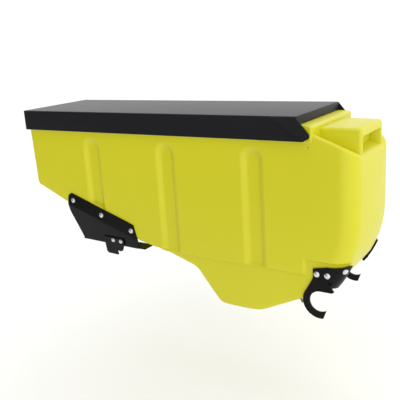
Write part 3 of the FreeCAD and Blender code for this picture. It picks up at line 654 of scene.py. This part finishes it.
def nose_rings():
    rings = [
        nose_ring(x, NOSE_HALF + 2.0 * (60 - x) / 100.0, NOSE_TOP + 1.0, NOSE_ROOT, 9.0)
        for x in (-40.0, 20.0)
    ]
    edge = 10.0
    for k in range(7):
        a = math.radians(15 * k)
        cut = edge * (1 - math.cos(a))
        x = NOSE_END - edge + edge * math.sin(a)
        rings.append(nose_ring(x, NOSE_HALF - cut, NOSE_TOP - cut, NOSE_ROOT, 10.0 - 0.3 * cut))
    for x, grow in ((NOSE_END - 0.8, 2.0), (NOSE_END - 4, 0.5), (NOSE_END - 35, -2.0)):
        rings.append(nose_ring(x, 84.0 + grow, 500.0 + grow, NOSE_ROOT, 6.0))
    return rings


nose = nose_rings()
nose_piece = make_piece("hopper_nose", [p for one in nose for p in one], capped(nose), YELLOW, sharp=50)
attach(nose_piece, "hopper")
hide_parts("hopper_shell")
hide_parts("hopper_shell")


# %% [markdown]
# The lid is a shallow pan turned over the rim. Its skin is again a stack of rings: the flat top, a
# small rounded edge, the skirt, and then the same again inside. The skirt is deep along both sides
# and at the shallow end, and short at the other end, where the lid turns over the curb.
# %% Lid pan
LID = [tuple(v / MM for v in corner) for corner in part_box("lid")]
LID_X = (LID[0][0], -63.0)
LID_HALF = 174.0
LID_TOP = LID[1][2]
SKIRT_Z = LID[0][2]
END_SKIRT_Z = LID_TOP - 28.0
LID_WALL = 4.0


def lid_plan(inset, r):
    """Rounded rectangle of the lid, with a mark on the points of its short end."""
    x0, x1 = LID_X[0] + inset, LID_X[1] - inset
    half = LID_HALF - inset
    r = max(r - inset, 1.5)
    points = []
    deep = ((x1 - r, -half + r, -90), (x1 - r, half - r, 0))
    shallow = ((x0 + r, half - r, 90), (x0 + r, -half + r, 180))
    for cx, cy, start in deep + shallow:
        for k in range(7):
            a = math.radians(start + 15 * k)
            points.append((cx + r * math.cos(a), cy + r * math.sin(a), cx > 0.5 * (x0 + x1)))
    return points


def lid_ring(inset, z, edge=7.0):
    out = []
    for i, (x, y, short) in enumerate(lid_plan(inset, edge)):
        low = END_SKIRT_Z if short and 1 <= i <= 12 else SKIRT_Z
        out.append((x * MM, y * MM, max(z, low) * MM))
    return out


def lid_rings():
    rings = []
    edge = 4.0
    for k in range(6):
        a = math.radians(18 * k)
        rings.append(lid_ring(edge * (1 - math.sin(a)), LID_TOP - edge * (1 - math.cos(a))))
    rings.append(lid_ring(0.0, SKIRT_Z + 1.0))
    rings.append(lid_ring(1.0, SKIRT_Z))
    rings.append(lid_ring(LID_WALL - 1.0, SKIRT_Z))
    rings.append(lid_ring(LID_WALL, SKIRT_Z + 1.0))
    rings.append(lid_ring(LID_WALL, LID_TOP - LID_WALL - 2))
    rings.append(lid_ring(LID_WALL + 2, LID_TOP - LID_WALL))
    return rings


pan = lid_rings()
lid_piece = make_piece("lid_pan", [p for one in pan for p in one], capped(pan), LID_BLACK, sharp=40)
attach(lid_piece, "lid")
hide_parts("lid")

# %% [markdown]
# At the curb end each side skirt flares out a little and runs on into an ear that carries the pivot. A
# wedge stiffens it: its lower edge stands proud as a sharp diagonal ridge, and its face falls back to
# the corner of the lid.
# %% Lid ears and gussets
PIVOT = (-35.0, 512.0)
EAR_R = 11.0


def plate(outline, y_in, y_out):
    """Closed plate from an XZ outline, with its own outer depth at each corner."""
    count = len(outline)
    points = [(x * MM, y_in * MM, z * MM) for x, z in outline]
    points += [(x * MM, y * MM, z * MM) for (x, z), y in zip(outline, y_out)]
    faces = [tuple(range(count))]
    faces += [(count, count + i, count + i + 1) for i in range(1, count - 1)]
    for i in range(count):
        j = (i + 1) % count
        faces.append((i, j, count + j, count + i))
    return points, faces


def round_tail(turns):
    return [
        (PIVOT[0] + EAR_R * math.cos(math.radians(a)), PIVOT[1] + EAR_R * math.sin(math.radians(a)))
        for a in turns
    ]


def flare(z):
    """The tail of the skirt leans out a little toward its lower edge."""
    return 0.3 + 2.4 * (LID_TOP - z) / (LID_TOP - SKIRT_Z)


for name, side in SIDES:
    ear = [(-190, SKIRT_Z + 0.4), (-190, LID_TOP - 5), (-66, LID_TOP - 3)]
    ear += round_tail(range(35, -100, -15)) + [(-43, SKIRT_Z + 0.4)]
    flared = [side * (LID_HALF + flare(z)) for _, z in ear]
    points, faces = plate(ear, side * (LID_HALF - LID_WALL + 0.5), flared)
    piece = make_piece("lid_ear_" + name, points, faces, LID_BLACK)
    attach(piece, "lid")
    wedge = [(-146, LID_TOP - 2), (-65, LID_TOP - 2), (-25.5, 519), (-30, 502.5), (-46, 498)]
    depth = [side * (LID_HALF + d) for d in (5.0, 0.6, 2.6, 6.6, 7.0)]
    points, faces = plate(wedge, side * (LID_HALF - 1), depth)
    piece = make_piece("lid_gusset_" + name, points, faces, LID_BLACK, sharp=20)
    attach(piece, "lid")


# %% [markdown]
# Every joint shows the same fastener: a zinc flange bolt with a domed head and a small socket. One
# Geometry Nodes tree builds the head from its sizes and stands a copy on each point of a small point
# mesh, turned to the direction stored with the point.
# %% Bolt heads
def add_input(tree, label, kind, value):
    socket = tree.interface.new_socket(label, in_out="INPUT", socket_type=kind)
    if value is not None:
        socket.default_value = value
    return socket.identifier


def cone(tree, low, high, depth, lift, segments):
    node = tree.nodes.new("GeometryNodeMeshCone")
    node.inputs["Vertices"].default_value = segments
    for label, value in (("Radius Bottom", low), ("Radius Top", high), ("Depth", depth)):
        tree.links.new(value, node.inputs[label])
    move = tree.nodes.new("GeometryNodeTransform")
    offset = tree.nodes.new("ShaderNodeCombineXYZ")
    tree.links.new(lift, offset.inputs["Z"])
    tree.links.new(node.outputs["Mesh"], move.inputs["Geometry"])
    tree.links.new(offset.outputs[0], move.inputs["Translation"])
    return move.outputs[0]


def bolt_tree():
    tree = bpy.data.node_groups.new("domed flange bolts", "GeometryNodeTree")
    ids = {"Geometry": add_input(tree, "Geometry", "NodeSocketGeometry", None)}
    ids["Head Radius"] = add_input(tree, "Head Radius", "NodeSocketFloat", 0.0095)
    ids["Head Height"] = add_input(tree, "Head Height", "NodeSocketFloat", 0.0055)
    ids["Shank Radius"] = add_input(tree, "Shank Radius", "NodeSocketFloat", 0.005)
    ids["Shank Length"] = add_input(tree, "Shank Length", "NodeSocketFloat", 0.02)
    ids["Finish"] = add_input(tree, "Finish", "NodeSocketMaterial", None)
    tree.interface.new_socket("Geometry", in_out="OUTPUT", socket_type="NodeSocketGeometry")
    gin = tree.nodes.new("NodeGroupInput")
    gout = tree.nodes.new("NodeGroupOutput")
    r = gin.outputs["Head Radius"]
    h = gin.outputs["Head Height"]
    stages = [(1.0, 0.97, 0.22, 0.0), (0.97, 0.86, 0.12, 0.22), (0.72, 0.70, 0.3, 0.3)]
    stages += [(0.70, 0.58, 0.22, 0.6), (0.58, 0.34, 0.13, 0.82), (0.2, 0.16, 0.2, 0.8)]
    join = tree.nodes.new("GeometryNodeJoinGeometry")
    for low, high, depth, lift in stages:
        parts = [math_node(tree, "MULTIPLY", r, low), math_node(tree, "MULTIPLY", r, high)]
        parts += [math_node(tree, "MULTIPLY", h, depth), math_node(tree, "MULTIPLY", h, lift)]
        tree.links.new(cone(tree, *parts, 24), join.inputs[0])
    shank = gin.outputs["Shank Radius"]
    length = gin.outputs["Shank Length"]
    below = math_node(tree, "MULTIPLY", length, -1.0)
    tree.links.new(cone(tree, shank, shank, length, below, 24), join.inputs[0])
    stand = tree.nodes.new("GeometryNodeInstanceOnPoints")
    turn = tree.nodes.new("FunctionNodeAlignRotationToVector")
    turn.axis = "Z"
    toward = tree.nodes.new("GeometryNodeInputNamedAttribute")
    toward.data_type = "FLOAT_VECTOR"
    toward.inputs["Name"].default_value = "out"
    tree.links.new(toward.outputs[0], turn.inputs["Vector"])
    tree.links.new(gin.outputs["Geometry"], stand.inputs["Points"])
    tree.links.new(join.outputs[0], stand.inputs["Instance"])
    tree.links.new(turn.outputs[0], stand.inputs["Rotation"])
    close_tree(tree, stand.outputs[0], gin, gout)
    return tree, ids


def close_tree(tree, geometry, gin, gout):
    """Realize the instances, give them the finish, and send them out."""
    real = tree.nodes.new("GeometryNodeRealizeInstances")
    paint = tree.nodes.new("GeometryNodeSetMaterial")
    tree.links.new(geometry, real.inputs[0])
    tree.links.new(real.outputs[0], paint.inputs["Geometry"])
    tree.links.new(gin.outputs["Finish"], paint.inputs["Material"])
    tree.links.new(paint.outputs[0], gout.inputs[0])


BOLTS, BOLT_IDS = bolt_tree()


def grown(name, points, tree, ids, values, outs=None):
    """Run a Geometry Nodes tree on a point mesh and keep the plain mesh it makes."""
    mesh = bpy.data.meshes.new(name + "_points")
    mesh.from_pydata(points, [], [])
    if outs:
        mesh.attributes.new("out", "FLOAT_VECTOR", "POINT").data.foreach_set("vector", [v for o in outs for v in o])
    seed = bpy.data.objects.new(name, mesh)
    bpy.context.scene.collection.objects.link(seed)
    modifier = seed.modifiers.new("grow", "NODES")
    modifier.node_group = tree
    for label, value in values.items():
        modifier[ids[label]] = value
    bpy.context.view_layer.update()
    graph = bpy.context.evaluated_depsgraph_get()
    plain = bpy.data.meshes.new_from_object(seed.evaluated_get(graph), depsgraph=graph)
    seed.modifiers.clear()
    seed.data = plain
    plain.polygons.foreach_set("use_smooth", [True] * len(plain.polygons))
    plain.set_sharp_from_angle(angle=math.radians(50))
    print(name, len(plain.polygons), "faces from", len(points), "points")
    return seed


# %% [markdown]
# The bolts go where the CAD bolts are. Each CAD bolt is a separate solid in its node, so the node's
# mesh is split into islands. The widest flat faces of a bolt are the underside of its head and the
# end of its shank, and both look away from the head, which gives its direction.
# %% Find the bolts
def islands(mesh):
    """Corner points and triangles of each separate solid in a mesh."""
    keys = [tuple(round(c, 6) for c in v.co) for v in mesh.vertices]
    parent = {key: key for key in keys}

    def root(key):
        while parent[key] != key:
            key = parent[key]
        return key

    for face in mesh.polygons:
        first = root(keys[face.vertices[0]])
        for v in face.vertices[1:]:
            parent[root(keys[v])] = first
    groups = {}
    for face in mesh.polygons:
        groups.setdefault(root(keys[face.vertices[0]]), []).append(face)
    return [(sorted({keys[v] for f in groups[k] for v in f.vertices}), groups[k]) for k in sorted(groups)]


def bolt_pose(points, faces, head):
    """Seat of the head, direction of the head, and length of the shank."""
    areas = {}
    for face in faces:
        key = tuple(round(c, 2) for c in face.normal)
        areas[key] = areas.get(key, 0.0) + face.area
    down = max(sorted(areas), key=lambda k: areas[k])
    size = math.hypot(*down)
    out = [-c / size for c in down]
    along = [sum(p[i] * out[i] for i in range(3)) for p in points]
    side = max(range(3), key=lambda i: 1 - abs(out[i]))
    cross = [
        out[(i + 1) % 3] * (side == (i + 2) % 3) - out[(i + 2) % 3] * (side == (i + 1) % 3)
        for i in range(3)
    ]
    cross = [c / math.hypot(*cross) for c in cross]
    other = [out[(i + 1) % 3] * cross[(i + 2) % 3] - out[(i + 2) % 3] * cross[(i + 1) % 3] for i in range(3)]
    seat_at = max(along) - head
    seat = [seat_at * c for c in out]
    for axis in (cross, other):
        reach = [sum(p[i] * axis[i] for i in range(3)) for p in points]
        middle = 0.5 * (min(reach) + max(reach))
        seat = [s + middle * c for s, c in zip(seat, axis)]
    return seat, out, seat_at - min(along)


BOLT_SIZES = {
    "hook_bolts": (0.0095, 0.0055, 0.005),
    "foot_bolts": (0.0095, 0.0055, 0.005),
    "saddle_bolts": (0.008, 0.005, 0.004),
}
for kind, (head_r, head_h, shank_r) in BOLT_SIZES.items():
    for name, _ in SIDES:
        node = kind + "_" + name
        poses = [bolt_pose(points, faces, head_h) for points, faces in islands(frame["nodes"][node].data)]
        values = {"Head Radius": head_r, "Head Height": head_h, "Shank Radius": shank_r, "Finish": ZINC}
        values["Shank Length"] = min(length for _, _, length in poses)
        piece = grown(node + "_made", [p[0] for p in poses], BOLTS, BOLT_IDS, values, [p[1] for p in poses])
        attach(piece, "hopper")
        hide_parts(node)

# %% [markdown]
# The screen under the lid keeps frozen lumps out of the sump. It is a welded grille: round wires
# along it, round wires across it on top, and a flat bar round the edge. A second Geometry Nodes tree
# makes it from the overall size and the number of wires each way.
# %% Top screen
def wires(tree, count, step_axis, step, first, length, turn, radius, lift):
    """A row of round wires: an instance of one cylinder on each point of a line."""
    line = tree.nodes.new("GeometryNodeMeshLine")
    tree.links.new(count, line.inputs["Count"])
    for value, label in ((first, "Start Location"), (step, "Offset")):
        vector = tree.nodes.new("ShaderNodeCombineXYZ")
        tree.links.new(value, vector.inputs[step_axis])
        tree.links.new(vector.outputs[0], line.inputs[label])
        if label == "Start Location":
            tree.links.new(lift, vector.inputs["Z"])
    rod = tree.nodes.new("GeometryNodeMeshCylinder")
    rod.inputs["Vertices"].default_value = 12
    tree.links.new(radius, rod.inputs["Radius"])
    tree.links.new(length, rod.inputs["Depth"])
    stand = tree.nodes.new("GeometryNodeInstanceOnPoints")
    stand.inputs["Rotation"].default_value = turn
    tree.links.new(line.outputs[0], stand.inputs["Points"])
    tree.links.new(rod.outputs["Mesh"], stand.inputs["Instance"])
    return stand.outputs[0]


def edge_bar(tree, size, place):
    cube = tree.nodes.new("GeometryNodeMeshCube")
    move = tree.nodes.new("GeometryNodeTransform")
    for values, socket in ((size, cube.inputs["Size"]), (place, move.inputs["Translation"])):
        vector = tree.nodes.new("ShaderNodeCombineXYZ")
        for value, part in zip(values, vector.inputs):
            if isinstance(value, float):
                part.default_value = value
            else:
                tree.links.new(value, part)
        tree.links.new(vector.outputs[0], socket)
    tree.links.new(cube.outputs["Mesh"], move.inputs["Geometry"])
    return move.outputs[0]


def screen_tree():
    tree = bpy.data.node_groups.new("welded grille", "GeometryNodeTree")
    ids = {"Geometry": add_input(tree, "Geometry", "NodeSocketGeometry", None)}
    for label, value in (("Length", 1.0), ("Width", 0.3), ("Wire", 0.005)):
        ids[label] = add_input(tree, label, "NodeSocketFloat", value)
    for label, value in (("Long Wires", 5), ("Cross Wires", 19)):
        ids[label] = add_input(tree, label, "NodeSocketInt", value)
    ids["Finish"] = add_input(tree, "Finish", "NodeSocketMaterial", None)
    tree.interface.new_socket("Geometry", in_out="OUTPUT", socket_type="NodeSocketGeometry")
    gin = tree.nodes.new("NodeGroupInput")
    gout = tree.nodes.new("NodeGroupOutput")
    length, width, wire = (gin.outputs[k] for k in ("Length", "Width", "Wire"))
    radius = math_node(tree, "MULTIPLY", wire, 0.5)
    join = tree.nodes.new("GeometryNodeJoinGeometry")
    rows = (
        ("Long Wires", width, length, "Y", (0.0, 0.5 * math.pi, 0.0), 0.5),
        ("Cross Wires", length, width, "X", (0.5 * math.pi, 0.0, 0.0), 1.5),
    )
    for label, span, reach, axis, turn, lift in rows:
        count = gin.outputs[label]
        step = math_node(tree, "DIVIDE", span, math_node(tree, "ADD", count, 1.0))
        first = math_node(tree, "SUBTRACT", step, math_node(tree, "MULTIPLY", span, 0.5))
        raised = math_node(tree, "MULTIPLY", wire, lift)
        inner = math_node(tree, "SUBTRACT", reach, wire)
        row = wires(tree, count, axis, step, first, inner, turn, radius, raised)
        tree.links.new(row, join.inputs[0])
    tall = math_node(tree, "MULTIPLY", wire, 2.0)
    for sign in (-0.5, 0.5):
        y = math_node(tree, "MULTIPLY", math_node(tree, "SUBTRACT", width, wire), sign)
        x = math_node(tree, "MULTIPLY", math_node(tree, "SUBTRACT", length, wire), sign)
        tree.links.new(edge_bar(tree, (length, wire, tall), (0.0, y, wire)), join.inputs[0])
        tree.links.new(edge_bar(tree, (wire, width, tall), (x, 0.0, wire)), join.inputs[0])
    stand = tree.nodes.new("GeometryNodeInstanceOnPoints")
    tree.links.new(gin.outputs["Geometry"], stand.inputs["Points"])
    tree.links.new(join.outputs[0], stand.inputs["Instance"])
    close_tree(tree, stand.outputs[0], gin, gout)
    return tree, ids


SCREEN, SCREEN_IDS = screen_tree()
low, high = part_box("top_screen")
middle = (0.5 * (low[0] + high[0]), 0.5 * (low[1] + high[1]), low[2])
values = {"Length": high[0] - low[0], "Width": high[1] - low[1], "Wire": 0.5 * (high[2] - low[2])}
values.update({"Long Wires": 5, "Cross Wires": 19, "Finish": GALVANISED})
screen = grown("screen_made", [middle], SCREEN, SCREEN_IDS, values)
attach(screen, "hopper")
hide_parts("top_screen")


# %% [markdown]
# Plain pale floor, far below, and a wide soft light from the front right and above, in white
# surroundings that are darker toward the shallow end. The camera looks down on the near side from the sump end.
# %% Stage, lights and camera
def area(name, place, aim, size, power, colour=(1, 1, 1)):
    data = bpy.data.lights.new(name, "AREA")
    data.shape = "RECTANGLE"
    data.size, data.size_y = size
    data.energy = power
    data.color = colour
    lamp = bpy.data.objects.new(name, data)
    bpy.context.scene.collection.objects.link(lamp)
    lamp.location = place
    lamp.rotation_euler = (Vector(aim) - Vector(place)).to_track_quat("-Z", "Y").to_euler()
    return lamp


def stage_floor():
    z = cad_box[0][2] - 0.35
    points = [(-30, -1.6, z), (3, -1.6, z), (3, 30, z), (-30, 30, z)]
    material = bpy.data.materials.new("pale floor")
    material.use_nodes = True
    tree = material.node_tree
    shader = tree.nodes["Principled BSDF"]
    shader.inputs["Roughness"].default_value = 0.9
    shader.inputs["Base Color"].default_value = (0.9, 0.9, 0.9, 1)
    floor = make_piece("floor", points, [(0, 1, 2, 3)], material)
    return floor


def pale_room():
    """White surroundings that are darker toward the shallow end, so that dark skins show a gradient."""
    world = bpy.data.worlds.new("pale room")
    world.use_nodes = True
    tree = world.node_tree
    back = tree.nodes["Background"]
    toward = tree.nodes.new("ShaderNodeVectorMath")
    toward.operation = "DOT_PRODUCT"
    toward.inputs[1].default_value = (-0.80, -0.60, 0.0)
    tree.links.new(tree.nodes.new("ShaderNodeTexCoord").outputs["Generated"], toward.inputs[0])
    shade = tree.nodes.new("ShaderNodeMapRange")
    shade.interpolation_type = "SMOOTHSTEP"
    shade.inputs["From Min"].default_value = 0.35
    shade.inputs["From Max"].default_value = 0.98
    shade.inputs["To Min"].default_value = 1.32
    shade.inputs["To Max"].default_value = 0.16
    tree.links.new(toward.outputs["Value"], shade.inputs["Value"])
    tree.links.new(shade.outputs[0], back.inputs["Strength"])
    back.inputs["Color"].default_value = (1, 1, 1, 1)
    bpy.context.scene.world = world


stage_floor()
pale_room()
area("key", (2.2, -2.4, 1.6), (-0.1, 0, 0.25), (0.8, 0.8), 9)
bpy.context.scene.view_settings.view_transform = "Standard"

camera_data = bpy.data.cameras.new("camera")
camera_data.lens = 54.5
camera_data.sensor_width = 36
camera = bpy.data.objects.new("camera", camera_data)
bpy.context.scene.collection.objects.link(camera)
bpy.context.scene.camera = camera


def aim_camera(place, azimuth, elevation, roll):
    a, e, c = (math.radians(v) for v in (azimuth, elevation, roll))
    back = (math.sin(a) * math.cos(e), -math.cos(a) * math.cos(e), math.sin(e))
    right = (math.cos(a), math.sin(a), 0)
    up = [back[(i + 1) % 3] * right[(i + 2) % 3] - back[(i + 2) % 3] * right[(i + 1) % 3] for i in range(3)]
    turned = [
        [math.cos(c) * r + math.sin(c) * u for r, u in zip(right, up)],
        [-math.sin(c) * r + math.cos(c) * u for r, u in zip(right, up)],
    ]
    rows = [[turned[0][i], turned[1][i], back[i], place[i]] for i in range(3)] + [[0, 0, 0, 1]]
    camera.matrix_world = Matrix(rows)


aim_camera((0.654, -1.769, 0.815), 33.7, 15.4, -3.66)
